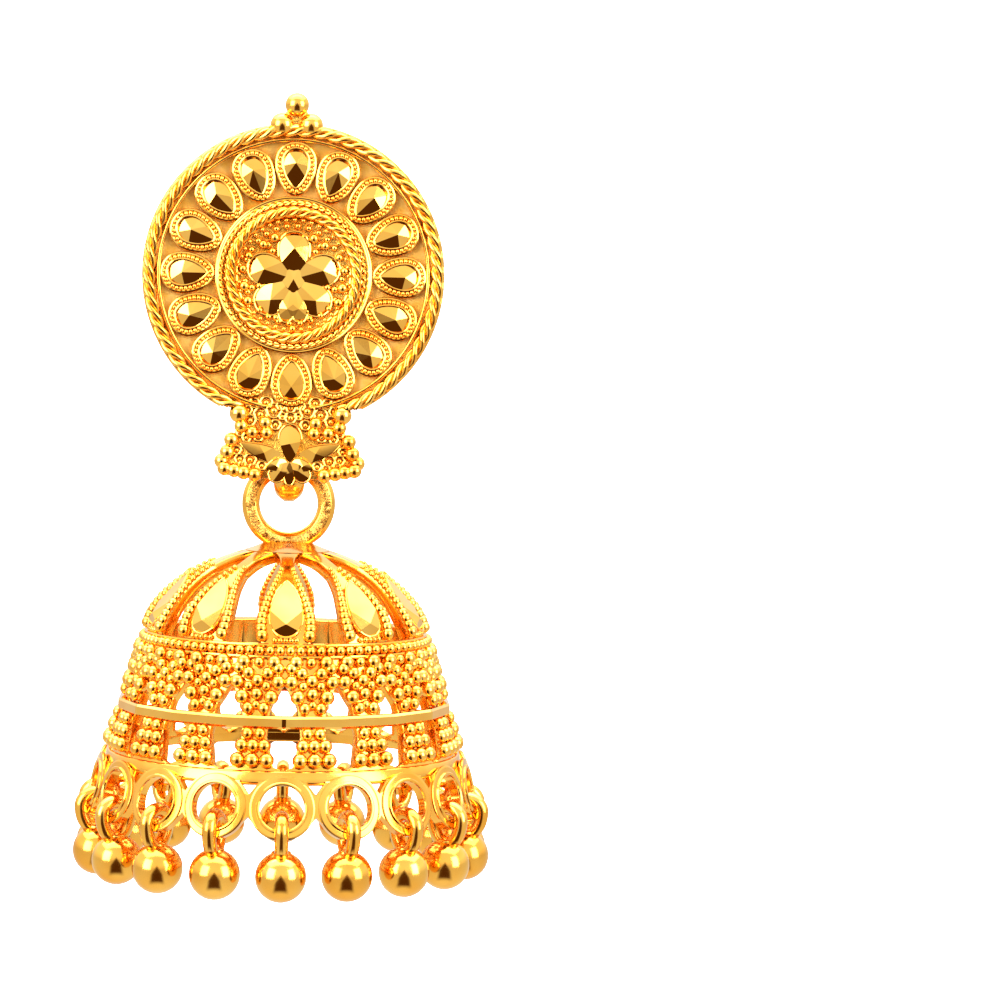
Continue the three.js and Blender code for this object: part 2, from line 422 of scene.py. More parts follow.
def rope(radius, thickness, turns, z, strands=3, sides=8):
    """Strands twisted into a rope and bent round into a ring."""
    length = 2 * math.pi * radius
    steps = round(turns * STEPS_PER_TURN)
    strand_r = thickness * STRAND_SHARE[strands]
    wires = []
    for k in range(strands):
        wire = place(tube(sides, strand_r, length / steps, "NOTHING"), turn(90, "Y"))
        modify(wire, "ARRAY", count=steps, use_merge_vertices=True, merge_threshold=0.0001)
        around = 2 * math.pi * k / strands
        offset = thickness / 2 - strand_r
        spot = shift(length / steps / 2, offset * math.cos(around), offset * math.sin(around))
        wires.append(place(wire, spot))
    twisted = solder("rope", *wires)

    def bend(points):
        along = points[:, 0] / length
        spin = along * turns * 2 * math.pi
        y = points[:, 1] * np.cos(spin) - points[:, 2] * np.sin(spin)
        up = points[:, 1] * np.sin(spin) + points[:, 2] * np.cos(spin)
        around = along * 2 * math.pi
        return np.stack([(radius + y) * np.cos(around), (radius + y) * np.sin(around), up + z], axis=1)
    return clean(reshape(twisted, bend), 0.01)


def pear_curve(length, width, blunt=0.3):
    """A bezier circle pulled into a pear whose point is at -Y; blunt rounds the point."""
    bpy.ops.curve.primitive_bezier_circle_add(radius=1)
    curve = bpy.context.object
    half = width / 2
    for point in curve.data.splines[0].bezier_points:
        side, end = round(point.co.x), round(point.co.y)
        before = Vector(point.handle_left) - Vector(point.co)
        point.handle_left_type = "FREE"
        point.handle_right_type = "FREE"
        if side:
            point.co = (side * half, length * 0.08, 0)
            handles = [(side * half, length * 0.28, 0), (side * half, -length * 0.19, 0)]
        elif end > 0:
            point.co = (0, length * 0.45, 0)
            handles = [(half * 0.62, length * 0.45, 0), (-half * 0.62, length * 0.45, 0)]
        else:
            point.co = (0, -length * 0.55, 0)
            handles = [(half * blunt, -length * 0.52, 0), (-half * blunt, -length * 0.52, 0)]
        ahead = before.y > 0 if side else before.x > 0
        point.handle_left, point.handle_right = handles if ahead else reversed(handles)
    return curve


def wire_along(curve, wire, z=0.0, steps=8, roundness=2):
    curve.data.resolution_u = steps
    curve.data.bevel_depth = wire
    curve.data.bevel_resolution = roundness
    return place(as_mesh(curve), shift(z=z))


def outline_of(curve, count):
    """Evenly spaced points along a closed curve."""
    curve.data.resolution_u = 24
    outline = as_mesh(curve)
    points = points_of(outline)
    bpy.data.objects.remove(outline)
    loop = np.vstack([points, points[:1]])
    along = np.concatenate([[0], np.cumsum(np.linalg.norm(np.diff(loop, axis=0), axis=1))])
    wanted = np.arange(count) * along[-1] / count
    return np.stack([np.interp(wanted, along, loop[:, i]) for i in range(3)], axis=1)


def granules(name, spots, detail=3):
    """Granules at (x, y, z, diameter)."""
    places = [shift(x, y, z) @ size(d / 2) for x, y, z, d in spots]
    return scatter(name, granule(detail), places)


def cut_stone(curve, base, height, cuts, apex=(0, 0)):
    """A prism on the curve's outline, cut by flat facets that all meet at the apex."""
    curve.data.dimensions = "2D"
    curve.data.fill_mode = "BOTH"
    curve.data.resolution_u = 7
    curve.data.extrude = height / 2
    stone = clean(place(as_mesh(curve), shift(z=base + height / 2)))
    for azimuth, tilt in cuts:
        normal = turn(azimuth) @ turn(tilt, "Y") @ Vector((0, 0, 1))

        def cut():
            bpy.ops.mesh.bisect(
                plane_co=(*apex, base + height), plane_no=normal, use_fill=True, clear_outer=True)
        edit(stone, cut)
    return clean(stone)


print("benches for granules, wires, ropes and cut gold are ready")

# %% [markdown]
# The stud starts as a disc of sheet with a low wall, which keeps the ornament in. The floor
# between the settings is left matte, so that the bright work stands out from it. A cylinder
# is inset and its middle pushed down, as the smith would dish it.

# %% Back plate
WALL_T = 0.45
FLOOR_SUNK = 0.12
back_plate = place(tube(128, DISC_R - 0.24, PLATE_T), shift(z=PLATE_T / 2))


def sink_floor():
    bpy.ops.mesh.inset(thickness=WALL_T, depth=0)
    bpy.ops.mesh.inset(thickness=0.1, depth=-FLOOR_SUNK)


edit(back_plate, sink_floor, lambda centre, normal: normal.z > 0.9)
stud_piece(solder("stud_back_plate", ease(back_plate, 0.07)), MATTE)

# %% [markdown]
# The rim is a rope of three twisted wires between plain ones. A rope could be a bump on a
# tube, but the twist is coarse enough to catch the light strand by strand, so the strands
# are real. The rim is cut away at the foot, where the connector plate is soldered over it.
# A small ring at the back is the collar that the post is soldered into.

# %% Rim rope and its wires
RIM_ROPE = {"radius": 9.09, "thickness": 0.88, "turns": 20, "z": 0.86}
RIM_WIRES = [(9.41, 0.13, 0.72), (8.5, 0.13, 0.86), (9.3, 0.22, 0.3)]
POST_COLLAR = (0.82, 0.16, 0.0)
CONNECTOR_TOP = -8.35


def open_below(piece):
    return cut_away(piece, lambda centre, normal: centre.y < CONNECTOR_TOP)


stud_piece(solder("stud_rim_rope", open_below(rope(**RIM_ROPE))), WIRE, angle=60)
rim_wires = open_below(solder("rim_wires", *[ring_wire(*wire) for wire in RIM_WIRES]))
stud_piece(solder("stud_rim_wires", rim_wires, ring_wire(*POST_COLLAR, steps=32, sides=8)), WIRE)

# %% [markdown]
# Sixteen pear-shaped mirrors stand round the disc, points inward. Each is a pear of gold
# whose top is cut with flat facets. The facets are real planes, cut with bisect, because
# each one reflects a different part of the room. A cut is its azimuth and its tilt: steep at
# the round end, which stays bright, and nearly flat at the point, which reflects the dark.

# %% Pear mirrors
PEAR_COUNT = 16
PEAR_REACH = 6.82
PEARS = [turn(-360 / PEAR_COUNT * k) @ shift(y=PEAR_REACH) for k in range(PEAR_COUNT)]
PEAR_CUTS = [(90, 24), (40, 21), (140, 21), (-8, 13), (188, 13), (-50, 9), (230, 9), (-90, 6)]
mirror = cut_stone(pear_curve(2.38, 1.52), 0.72, 0.52, PEAR_CUTS, apex=(0, 0.22))
stud_piece(scatter("pear_mirrors", mirror, PEARS), MIRROR, angle=5)

# %% [markdown]
# Each mirror is held in a bezel wire, with a ring of milgrain beads and an outer wire on a
# low cup. The outer outlines are blunter than the mirror's, so the settings touch along
# their sides and leave only small triangles of floor. Milgrain is rolled beads, so it is
# modelled as real granules along the outline.

# %% Pear wires and milgrain
cup = pear_curve(3.1, 2.3, 0.62)
cup.data.dimensions = "2D"
cup.data.fill_mode = "BOTH"
cup.data.extrude = 0.14
cup = place(as_mesh(cup), shift(z=0.66))
bezel = wire_along(pear_curve(2.54, 1.68, 0.36), 0.1, 0.98, steps=6)
fence = wire_along(pear_curve(3.22, 2.4, 0.66), 0.13, 0.84, steps=6)
stud_piece(scatter("pear_wires", clean(solder("pear_wire", cup, bezel, fence)), PEARS), WIRE)
milgrain = [(x, y, 0.96, 0.29) for x, y, z in outline_of(pear_curve(2.88, 2.03, 0.52), 27)]
stud_piece(scatter("pear_borders", granules("pear_border", milgrain, 2), PEARS), BEAD)

# %% [markdown]
# The medallion in the middle is a second, higher disc: a coarse rope inside a fine one of
# two strands, with plain wires between. The same rope bench makes both, and the floor of
# fused filings is a disc with its middle pushed down.

# %% Medallion
MEDALLION_R = 4.86
medallion_floor = place(tube(96, MEDALLION_R, 0.4), shift(z=0.75))
edit(
    medallion_floor,
    lambda: bpy.ops.mesh.inset(thickness=1.2, depth=-FLOOR_SUNK),
    lambda centre, normal: normal.z > 0.9,
)
coarse = rope(3.97, 0.76, 12, 1.18)
fine = rope(4.52, 0.36, 31.5, 1.08, strands=2, sides=6)
stud_piece(solder("medallion_ropes", coarse, fine), WIRE, angle=60)
medallion_rings = [ring_wire(radius, 0.1, 1.0, 96, 8) for radius in (4.28, 4.73, MEDALLION_R, 3.6)]
stud_piece(solder("medallion_wires", *medallion_rings), WIRE)
stud_piece(solder("medallion_floor", medallion_floor), GROUND)

# %% [markdown]
# The flower has five faceted petals and a heart-ended one below, which is two narrow
# petals side by side. Each petal's ridge lies beyond its middle: the outer facets are steep
# and bright, and the inner ones lie almost flat towards the flower's heart.

# %% Flower
FLOWER_Y = -0.26
FLOWER = shift(y=FLOWER_Y)
PETAL_CUTS = [(90, 30), (48, 24), (132, 24), (10, 19), (170, 19), (-62, 10), (242, 10)]


def petal_at(length, width, height, angle, reach):
    petal = cut_stone(pear_curve(length, width), 0.85, height, PETAL_CUTS, apex=(0, 0.36))
    rim = wire_along(pear_curve(length + 0.16, width + 0.16), 0.08, 1.06, steps=6)
    cut_away(rim, lambda centre, normal: centre.y < -length * 0.12)
    return place(solder("petal", petal, rim), FLOWER @ turn(angle) @ shift(y=reach))


petals = [petal_at(2.95, 1.85, 0.62, angle, 1.6) for angle in (0, 73, -73, 133, -133)]
petals += [petal_at(2.6, 1.0, 0.58, 180 + side * 11, 1.56) for side in (-1, 1)]
heart = cut_stone(pear_curve(1.5, 1.5), 0.85, 0.5, [(90, 11), (30, 12), (150, 12)])
petals.append(place(heart, FLOWER))
stud_piece(solder("flower_petals", *petals), MIRROR, angle=4)


# %% [markdown]
# Single granules fill the ground round the flower: large ones between the petals, two rings
# of small ones under the rope, and pairs between. Three big balls crown the disc. They are
# listed by place on one side, and each is set with its twin, as the design is symmetric.

# %% Granules of the stud
def pairs(spots, z):
    """Granules at (x, y, diameter), each with its twin on the other side."""
    both = []
    for x, y, d in spots:
        both += [(x, y, z, d)] if x == 0 else [(x, y, z, d), (-x, y, z, d)]
    return both


flower_spots = pairs([
    (1.23, 2.31, 0.63), (1.95, 1.87, 0.57), (2.85, 1.15, 0.5), (3.2, 0.31, 0.5),
    (3.1, -0.77, 0.66), (2.85, -1.7, 0.63), (0, -3.4, 0.46),
], 1.1)
GRANULE_RINGS = [(40, 3.46, 0, 1.05, 0.3), (28, 3.08, 4, 0.98, 0.42)]
for count, reach, first, z, d in GRANULE_RINGS:
    for k in range(count):
        around = math.radians(k * 360 / count + first)
        flower_spots.append((reach * math.sin(around), reach * math.cos(around), z, d))
for angle in (38, -38, 103, -103, 157, -157):
    for reach, d in ((2.2, 0.44), (2.68, 0.46)):
        spot = FLOWER @ turn(-angle) @ Vector((0, reach, 0))
        flower_spots.append((spot.x, spot.y, 1.0, d))
stud_piece(granules("flower_granules", flower_spots), BEAD)
top_spots = pairs([(0, 10.69, 1.5), (0.91, 9.42, 1.5)], 0.7)
stud_piece(granules("top_granules", top_spots, 4), BALL)

# %% [markdown]
# Below the disc a small waisted plate carries the lug, and a smaller one above backs the
# crown of three balls. Each is drawn as a flat outline and given its thickness, as it would
# be sawn from sheet. A border of granules follows the lower plate's edge.

# %% Connector plate
def sawn(lines, low, high):
    """Sheet cut along closed lines of (x, y), holes after the border, from height low to high."""
    drawing = bpy.data.curves.new("outline", "CURVE")
    drawing.dimensions = "2D"
    drawing.fill_mode = "BOTH"
    drawing.extrude = (high - low) / 2
    for line in lines:
        spline = drawing.splines.new("POLY")
        spline.points.add(len(line) - 1)
        for point, (x, y) in zip(spline.points, line):
            point.co = (x, y, 0, 1)
        spline.use_cyclic_u = True
    curve = bpy.data.objects.new("outline", drawing)
    bpy.context.scene.collection.objects.link(curve)
    return clean(place(as_mesh(curve), shift(z=(low + high) / 2)))


def plate_from(outline, low, high):
    return ease(sawn([outline], low, high), 0.05)


half_outline = [
    (0, -7.4), (3.3, -7.9), (3.45, -8.9), (3.2, -9.6), (3.35, -10.2), (3.9, -10.9),
    (4.35, -11.6), (4.5, -12.2), (4.0, -12.75), (3.2, -12.8), (2.2, -12.95), (1.4, -12.9),
    (0.8, -13.1), (0, -13.15),
]
outline = half_outline + [(-x, y) for x, y in reversed(half_outline[1:-1])]
crown = [(-1.9, 8.9), (1.9, 8.9), (1.25, 9.5), (0.55, 10.4), (0, 10.9), (-0.55, 10.4), (-1.25, 9.5)]
plates = (plate_from(outline, 0.05, 0.62), plate_from(crown, 0.05, 0.6))
stud_piece(solder("connector_plate", *plates), GROUND)

connector_spots = pairs([
    (3.25, -8.8, 1.25), (3.1, -9.6, 0.9), (3.7, -10.48, 0.96), (3.95, -11.25, 0.96),
    (4.1, -12.3, 0.95), (3.5, -12.4, 0.95), (2.9, -12.52, 0.95), (2.2, -12.65, 0.95),
    (2.4, -9.98, 0.86), (1.6, -9.35, 0.86), (1.5, -10.0, 0.86),
], 0.78) + pairs([(4.3, -11.85, 0.96)], 0.55)
stud_piece(granules("connector_granules", connector_spots), BEAD)

# %% [markdown]
# A star of cut petals covers the middle of the connector. The side petals point outwards,
# and the top and bottom ones have their round ends out. Each is cut like a pear mirror, at
# its own length, which is its reach from the star's heart.

# %% Connector star
STAR = Vector((0, -11.85))
TIP_OUT = [(90, 22), (10, 17), (170, 17), (-50, 8), (230, 8)]
ROUND_OUT = [(60, 20), (120, 16), (0, 14), (180, 5), (-90, 8)]
STAR_PETALS = [
    (0, 2.35, 1.3, ROUND_OUT), (2.8, 1.02, 0.9, TIP_OUT), (-2.8, 1.02, 0.9, TIP_OUT),
    (1.35, -0.35, 0.75, TIP_OUT), (-1.35, -0.35, 0.75, TIP_OUT),
    (1.15, -1.1, 0.9, ROUND_OUT), (-1.15, -1.1, 0.9, ROUND_OUT), (0, -1.4, 0.55, ROUND_OUT),
]


def star_petal(x, y, width, cuts):
    """A petal whose outer end is at (x, y) from the star's heart, with a wire round that end."""
    length = math.hypot(x, y)
    petal = cut_stone(pear_curve(length, width), 0.5, 0.52, cuts, apex=(0, -0.1))
    edge = wire_along(pear_curve(length + 0.14, width + 0.14), 0.06, 0.78, steps=6)
    cut_away(edge, lambda centre, normal: (centre.y > 0.1) == (cuts is TIP_OUT))
    along = shift(y=length * 0.55) @ turn(180 if cuts is TIP_OUT else 0)
    heading = turn(math.degrees(math.atan2(-x, y)))
    return place(solder("star_petal", petal, edge), shift(*STAR) @ heading @ along)


star_petals = [star_petal(*row) for row in STAR_PETALS]
stud_piece(solder("connector_star", *star_petals), MIRROR, angle=12)

# %% [markdown]
# Between star and border lie curls of fine wire, each round a granule. A curl is a ring
# here, since its open end is hidden under its neighbours.

# %% Connector scrolls
scrolls = []
SCROLLS = [
    (0, -8.4, 0.3), (0.62, -8.3, 0.26), (1.55, -8.1, 0.36), (2.3, -8.15, 0.3), (2.75, -8.6, 0.28),
    (0, -9.05, 0.34), (0.5, -8.95, 0.22), (1.05, -8.6, 0.46), (1.9, -8.85, 0.4), (2.55, -9.25, 0.34),
    (0.95, -9.5, 0.3), (2.0, -10.25, 0.3), (2.75, -10.35, 0.26), (3.15, -10.0, 0.26),
    (2.5, -11.75, 0.36), (3.15, -11.7, 0.3), (3.35, -11.15, 0.26), (1.75, -12.1, 0.26),
    (2.3, -12.25, 0.24), (3.0, -12.1, 0.22),
]
for x, y, radius in SCROLLS:
    for side in ((1,) if x == 0 else (1, -1)):
        scrolls.append(place(ring_wire(radius, 0.1, 0.74, 24, 8), shift(side * x, y)))
        scrolls.append(granules("eye", [(side * x, y, 0.7, radius * 1.1)], 2))
stud_piece(solder("connector_scrolls", *scrolls), WIRE)

# %% [markdown]
# The lug is a strap bent back behind the plate and drilled, and the bell's ring hangs in
# it. A short cylinder is bevelled at its sides and bored through with a boolean, because a
# drilled hole is exactly what it has.

# %% Lug
LUG_W = 1.95
LUG_R = 1.9
BORE_R = 0.95
lug = place(tube(96, LUG_R, LUG_W), shift(0, HINGE.y, HINGE.z - 0.4) @ turn(90, "Y"))
edit(lug, lambda: bpy.ops.mesh.bevel(offset=0.35, segments=1), lambda centre, normal: abs(normal.x) > 0.9)
drill = place(tube(48, BORE_R, LUG_W * 2), shift(0, HINGE.y, HINGE.z) @ turn(90, "Y"))
modify(lug, "BOOLEAN", object=drill, operation="DIFFERENCE", solver="EXACT")
bpy.data.objects.remove(drill)


def round_foot(points):
    """Narrow the lug towards its foot, into a rounded U from the front."""
    fall = np.clip((-13.2 - points[:, 2]) / 1.4, 0, 0.93)
    points[:, 0] *= np.sqrt(1 - fall ** 2)
    return points


reshape(lug, round_foot)
hand_over(solder("lug", lug), "stud_body", SHEET, ["stud"], angle=50)

# %% [markdown]
# The bell's wall is one smooth curve, a dome running into a flaring skirt. Everything on
# it is laid out flat, with x across and y up the wall, and then wrapped: a point's height
# becomes a distance along the curve, and its x becomes an angle round the axis.

# %% The bell's curve
DOME = [(0, -17.25), (4.6, -17.25), (8.45, -20.2), (8.85, -22.8)]
SKIRT = [(8.85, -22.8), (9.75, -26.0), (11.15, -30.2), (12.3, -34.5)]
CURVE_STEPS = 90


def bent(corners):
    line = interpolate_bezier(*[Vector((*corner, 0)) for corner in corners], CURVE_STEPS)
    return [tuple(point)[:2] for point in line]


CURVE = np.array(bent(DOME)[:-1] + bent(SKIRT))
RUN = np.concatenate([[0], np.cumsum(np.linalg.norm(np.diff(CURVE, axis=0), axis=1))])
ALONG = np.gradient(CURVE, RUN, axis=0)


def down(height):
    """Distance from the top of the dome, along the wall, at a height."""
    return float(np.interp(-height, -CURVE[:, 1], RUN))


def wall_at(run):
    """Radius, height and outward direction of the wall, at a distance along it."""
    run = np.abs(run)
    radius, height = np.interp(run, RUN, CURVE[:, 0]), np.interp(run, RUN, CURVE[:, 1])
    across, fall = np.interp(run, RUN, ALONG[:, 0]), np.interp(run, RUN, ALONG[:, 1])
    return radius, height, -fall, across


def round_axis(reach, around, height):
    """Points at a distance and an angle round the bell's axis; angle 0 is the front."""
    return np.stack([reach * np.sin(around), HINGE.y - reach * np.cos(around), height], axis=1)


def wrap(points):
    radius, height, out, up = wall_at(points[:, 1])
    around = points[:, 0] / np.maximum(radius, 0.001)
    return round_axis(radius + out * points[:, 2], around, height + up * points[:, 2])


def round_bell(angle):
    return shift(y=HINGE.y) @ turn(angle) @ shift(y=-HINGE.y)


def wall_spot(x, height, out=0.0):
    """The place of a small part on the wall: its front out, its top up the wall."""
    radius, level, outward, upward = (float(v) for v in wall_at(down(height)))
    lean = Matrix.Rotation(math.atan2(outward, upward), 4, "X")
    at = shift(0, HINGE.y - radius - outward * out, level + upward * out)
    return round_bell(math.degrees(x / radius)) @ at @ lean


BAY_TURNS = [round_bell(360 / GROUPS * k) for k in range(GROUPS)]
GROUP_TURNS = [round_bell(10 + 360 / GROUPS * k) for k in range(GROUPS)]
PLATE_TURNS = [round_bell(360 / PLATES * k) for k in range(PLATES)]
print("wall length", round(RUN[-1], 2), "radius at the bead ring", round(float(wall_at(down(-23.2))[0]), 2))


# %% [markdown]
# The sheet parts of the wall are made from a flat grid: its rows are spread along the
# wall, each as wide as a table says, and then it is wrapped, copied round, soldered at the
# seams and given its thickness. The gaps between the strips are the bell's openings.

# %% Sheet strips on the wall
def strip(name, rows, places, thickness):
    """rows are (distance along the wall, half width, lift), from the top down."""
    bpy.ops.mesh.primitive_grid_add(x_subdivisions=8, y_subdivisions=36, size=2)
    sheet = bpy.context.object
    table = np.array(rows)

    def spread(points):
        run = np.interp(-points[:, 1], (-1, 1), (table[0, 0], table[-1, 0]))
        half = np.interp(run, table[:, 0], table[:, 1])
        lift = np.interp(run, table[:, 0], table[:, 2])
        return wrap(np.stack([points[:, 0] * half, -run, lift], axis=1))
    reshape(sheet, spread)
    whole = clean(scatter(name, sheet, places), 0.004)
    modify(whole, "SOLIDIFY", thickness=thickness, offset=-1)
    return ease(whole, 0.06, angle=50)


def seam(run, count):
    """Half the width of one of count strips that fill the whole turn."""
    return float(wall_at(run)[0]) * math.pi / count


dome_rows = [(run, seam(run, PLATES), 0.0) for run in np.linspace(0, 2.6, 6)]
dome_rows += [(3.0, 0.62, 0.0), (3.45, 0.52, 0.0), (4.0, 0.47, 0.0), (down(-18.55), 0.48, 0.0)]
dome_rows += [(down(-19.3), 0.85, 0.0), (down(-20.2), 1.28, 0.0), (down(-21.2), 1.6, 0.0)]
dome_rows += [(down(-21.8), 1.66, 0.0), (down(-22.5), 1.55, 0.0), (down(-22.95), 1.5, 0.0)]
bell_piece(strip("dome_plates", dome_rows, PLATE_TURNS, 0.75), SHEET)

# %% [markdown]
# Each dome plate carries a long mirror, cut on the bench and stood on the wall. Its round
# end is down, and the cut above it is steep enough to reflect the bright room overhead.

# %% Dome mirrors
DOME_CUTS = [(90, 34), (20, 15), (160, 15), (-60, 6), (240, 6)]
dome_mirror = cut_stone(pear_curve(4.1, 2.0), -0.5, 0.85, DOME_CUTS, apex=(0, 1.1))
dome_bezel = wire_along(pear_curve(4.16, 2.08), 0.07, 0.02, steps=8)
dome_stone = place(solder("dome_stone", dome_mirror, dome_bezel), wall_spot(0, -20.85) @ turn(180))
bell_piece(scatter("dome_mirrors", dome_stone, PLATE_TURNS), MIRROR, angle=8)

# %% [markdown]
# A line of granules follows each plate's edge, small at the neck and larger below. A spot
# on the wall is given by its distance across and its height, and each granule is set with
# its twin. Balls look smaller once they are soldered in, so they are made a little plump.

# %% Dome beads
dome_run = np.linspace(down(-18.5), down(-22.3), 14)
dome_bead_spots = []
for i, run in enumerate(dome_run):
    d = 0.28 + 0.42 * (i / 13) ** 1.2
    half = float(np.interp(run, [row[0] for row in dome_rows], [row[1] for row in dome_rows]))
    dome_bead_spots.append((max(half - 0.12, 0.26), float(wall_at(run)[1]), d))
dome_bead_spots += [(x, -22.55, 0.33) for x in (0.0, 0.34, 0.68)]
PLUMP = 1.14


def wall_beads(spots, lift=0.25):
    """Granules at (x, height, diameter) on the wall, each with its twin."""
    places = []
    for x, height, d in spots:
        for side in ((1,) if x == 0 else (1, -1)):
            places.append(wall_spot(side * x, height, d * lift) @ size(d / 2 * PLUMP))
    return scatter("granules", granule(2), places)


bell_piece(scatter("dome_beads", wall_beads(dome_bead_spots), PLATE_TURNS), BEAD)

# %% [markdown]
# A ring of ninety even granules hides the seam between dome and skirt. It sits between two
# plain wires, whose radius is read from the wall's curve.

# %% Bead ring
RING_BEADS = 90
first_bead = wall_spot(0, -23.2, 0.14) @ size(0.31)
bead_places = [round_bell(360 / RING_BEADS * k + 2) @ first_bead for k in range(RING_BEADS)]
bell_piece(scatter("bead_ring", granule(2), bead_places), BEAD)


def wall_wire(height, wire):
    radius = float(wall_at(down(height))[0]) + 0.05
    return place(ring_wire(radius, wire, 0, 144, 8), shift(0, HINGE.y, height))


bell_piece(solder("bead_ring_wires", wall_wire(-22.84, 0.13), wall_wire(-23.55, 0.12)), WIRE)

# %% [markdown]
# Below it the skirt hangs in eighteen lace-like groups, clusters of granules soldered to
# a backing that narrows downwards, with arched gaps between. Each group is one pattern of
# granules, copied round.

# %% Lattice and its granules
lattice_rows = [(run, seam(run, GROUPS), -0.1) for run in np.linspace(down(-22.7), down(-25.15), 6)]
for height, half in ((-25.45, 1.5), (-26.0, 1.22), (-26.5, 0.92), (-27.15, 0.84)):
    lattice_rows.append((down(height), half, -0.1))
bell_piece(strip("wall_lattice", lattice_rows, GROUP_TURNS, 0.55), SHEET)
group_spots = [
    (0, -23.9, 0.6), (0.93, -23.9, 0.82), (1.22, -24.28, 0.7), (0.6, -24.55, 0.72), (0, -25.0, 0.72),
    (1.27, -25.1, 0.82), (0.55, -25.33, 0.56), (0, -25.8, 0.7), (0.9, -26.0, 0.84), (0, -26.45, 0.5),
    (0.5, -26.66, 0.7),
]
bell_piece(scatter("wall_granules", wall_beads(group_spots, 0.2), GROUP_TURNS), BEAD)

scallop_places = [wall_spot(side * 1.62, -24.62, 0.05) for side in (-1, 1)]
scallops = scatter("scallop", ring_wire(0.42, 0.1, 0, 24, 8), scallop_places)
bell_piece(scatter("wall_scallops", scallops, GROUP_TURNS), WIRE)

# %% [markdown]
# The middle band was planished flat between the pillars, so it is a faceted ring and not
# a round one: eighteen flats, with narrow facets where they meet.

# %% Middle band
MIDDLE_R = 10.72
MIDDLE_Z = -27.44
middle_band = place(tube(GROUPS, MIDDLE_R, 0.76, "NOTHING"), shift(0, HINGE.y, MIDDLE_Z))
modify(middle_band, "SOLIDIFY", thickness=0.7, offset=-1)
bell_piece(solder("middle_band", ease(middle_band, 0.13, 1, 15)), MIRROR, angle=5)

# %% [markdown]
# Eighteen pillars join the two bands. Each is a strip like the others, waisted at the top
# and spread at its foot, with granules in rows of two and three.

# %% Pillars
pillar_table = [
    (-27.7, 0.82), (-28.3, 0.78), (-28.9, 0.98), (-29.5, 1.15), (-30.1, 1.3), (-30.25, 1.75), (-30.5, 1.9),
]
pillar_rows = [(down(height), half, -0.05) for height, half in pillar_table]
bell_piece(strip("pillar_plates", pillar_rows, GROUP_TURNS, 0.6), SHEET)
pillar_spots = [
    (0.39, -28.18, 0.68), (0, -28.9, 0.78), (0.7, -28.9, 0.78), (0, -29.76, 0.86), (0.9, -29.76, 0.86),
]
bell_piece(scatter("pillar_granules", wall_beads(pillar_spots, 0.2), GROUP_TURNS), BEAD)

# %% [markdown]
# The rim is a plain band that flares slightly. It is a short tube without ends, widened
# towards its foot and then given its thickness, with soft edges where it was polished.

# %% Rim band
RIM_BAND_Z = -30.72
FLARE = 0.024


def flare(points):
    """Widen a ring round the bench's own axis, by a share of each millimetre downwards."""
    points[:, :2] *= 1 - points[:, 2:] * FLARE
    return points


rim_band = reshape(tube(144, 11.38, 0.84, "NOTHING"), flare)
place(rim_band, shift(0, HINGE.y, RIM_BAND_Z))
modify(rim_band, "SOLIDIFY", thickness=0.75, offset=-1)
bell_piece(solder("rim_band", ease(rim_band, 0.16, 3)), SHEET)

# %% [markdown]
# Under the band is a frieze of eighteen rings, one for each drop. It is sawn from sheet, so
# one bay of it is drawn flat with its hole, made solid, bent outwards, copied round,
# soldered at the seams, and only then are its sharp edges eased.

# %% Rim loops
LOOP_Z = -32.55
LOOP_R = 11.82
LOOP_LEAN = math.radians(13)
LOOP_HOLE = 1.4
SHEET_T = 0.55
BAY = math.pi * LOOP_R / GROUPS


def arc(radius, first, step, count):
    """Points on a circle round a loop's middle, at angles in degrees."""
    angles = [math.radians(first + step * k) for k in range(count)]
    return [(radius * math.cos(a), LOOP_Z + radius * math.sin(a)) for a in angles]


def lean_out(points):
    drop = LOOP_Z - points[:, 1]
    reach = LOOP_R + drop * math.tan(LOOP_LEAN) + points[:, 2] * math.cos(LOOP_LEAN)
    height = points[:, 1] + points[:, 2] * math.sin(LOOP_LEAN)
    return round_axis(reach, points[:, 0] / LOOP_R, height)


right = [(1.45, -30.95), (1.45, -31.02), (BAY, -31.8), (BAY, -33.1)]
border = right + arc(1.95, -30, -5, 25) + [(-x, y) for x, y in reversed(right)]
bay = sawn([border, arc(LOOP_HOLE, 0, 6, 60)], -SHEET_T / 2, SHEET_T / 2)
cut_away(bay, lambda centre, normal: abs(centre.x) > BAY - 0.01)
rim_loops = clean(scatter("rim_loops", reshape(bay, lean_out), BAY_TURNS), 0.004)
bell_piece(ease(rim_loops, 0.1, 1, 60), SHEET, angle=20)

# %% [markdown]
# Each hole has a raised lip, a flattened ring with a wire inside it. A torus is pressed flat
# by limiting its heights, as a washer is hammered, and bent outwards with the same rule.

# %% Lips of the rim loops
washer = reshape(torus(1.7, 0.27, 60, 16), lambda points: np.clip(points, (-9, -9, -0.2), (9, 9, 0.13)))
washer = place(washer, shift(0, LOOP_Z, 0.24))
lip = solder("lip", washer, place(ring_wire(1.45, 0.12, 0.36, 60, 10), shift(y=LOOP_Z)))
bell_piece(scatter("rim_lips", reshape(lip, lean_out), BAY_TURNS), SHEET, angle=30)

# %% [markdown]
# The bell hangs from a ring of thick wire that was soldered into its collar. The front of
# the ring is hatched with a graver. A thin shell over the front carries the strokes as real
# relief, so that they catch the light, and the rest of the ring stays plain. The shell's
# colour also has painted shade: dark specks for the graver's cuts.

# %% Hanging ring
hanging_ring = torus(RING_R, RING_WIRE_R, 192, 24)
engraving = torus(RING_R, RING_WIRE_R + 0.015, 192, 48)
cut_away(engraving, lambda centre, normal: centre.z < 0.52)


def hatch(points):
    """Slanting strokes round the ring."""
    around = np.arctan2(points[:, 1], points[:, 0])
    out = np.hypot(points[:, 0], points[:, 1]) - RING_R
    points[:, 2] += 0.03 * np.sin(around * 80 + out * 12)
    return points


